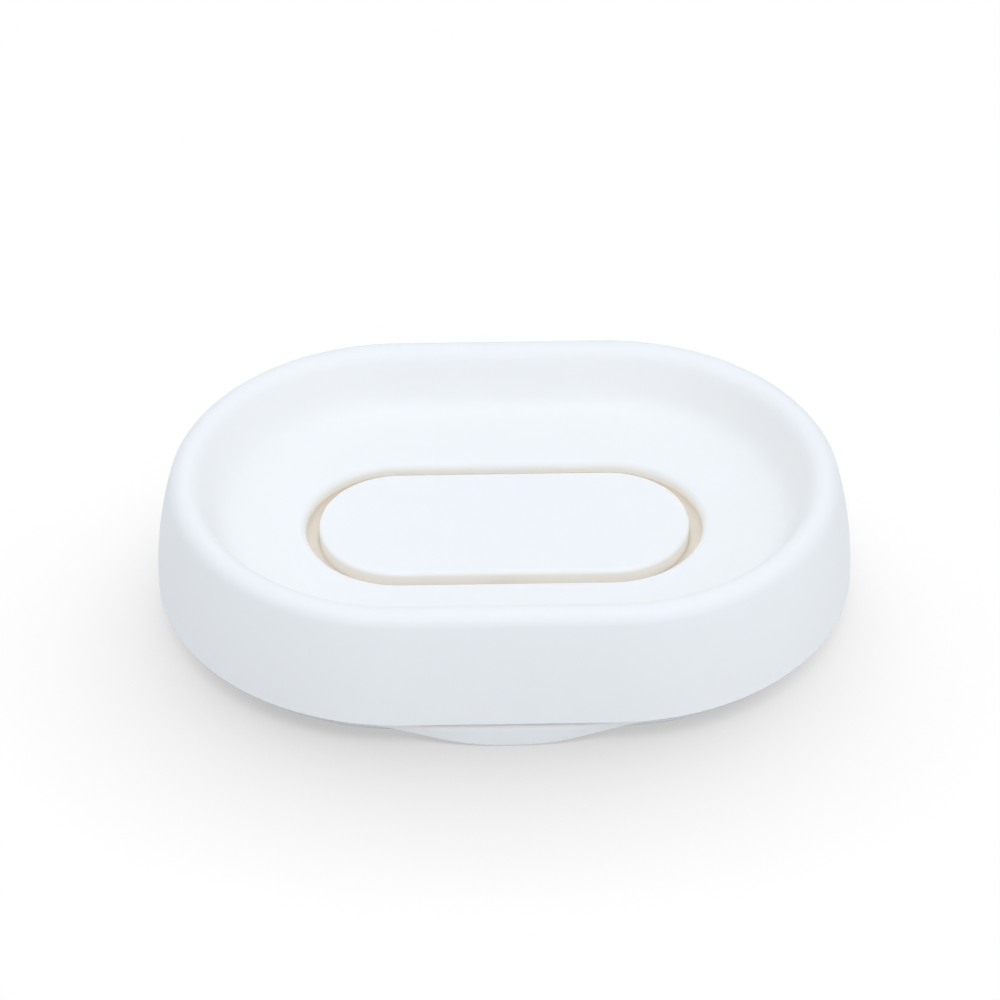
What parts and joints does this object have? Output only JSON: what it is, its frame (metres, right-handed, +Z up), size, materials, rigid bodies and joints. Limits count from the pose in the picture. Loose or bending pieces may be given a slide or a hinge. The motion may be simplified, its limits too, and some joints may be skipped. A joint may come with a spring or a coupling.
{
  "type": "soap dish",
  "caption": "Stadium-shaped soap dish: a smooth bowl with a drain ring round a raised soap rest, lifting off a sloping drain tray with a pouring lip at the front.",
  "frame": {"origin": "middle of the whole footprint, pouring lip included, at the level of the counter", "axes": "+X along the long side, +Y away from the pouring lip, +Z up"},
  "size_m": [0.13, 0.0926, 0.0264],
  "materials": {
    "bowl_plastic": "fine matte moulded white, slightly cool",
    "rest_plastic": "fine matte moulded white, slightly cool",
    "tray_plastic": "fine matte moulded white",
    "foot_rubber": "soft dull grey-white"
  },
  "bodies": {
    "tray": {"drain_tray": "tray_plastic", "foot_front_left": "foot_rubber", "foot_front_right": "foot_rubber", "foot_back_left": "foot_rubber", "foot_back_right": "foot_rubber"},
    "bowl": {"dish_bowl": "bowl_plastic"},
    "rest": {"soap_rest": "rest_plastic"}
  },
  "joints": [
    {"name": "bowl_lift", "type": "slide", "parent": "tray", "child": "bowl", "axis": [0, 0, 1], "range_m": [0, 0.03]},
    {"name": "soap_rest_lift", "type": "slide", "parent": "tray", "child": "rest", "axis": [0, 0, 1], "range_m": [0, 0.03]}
  ]
}
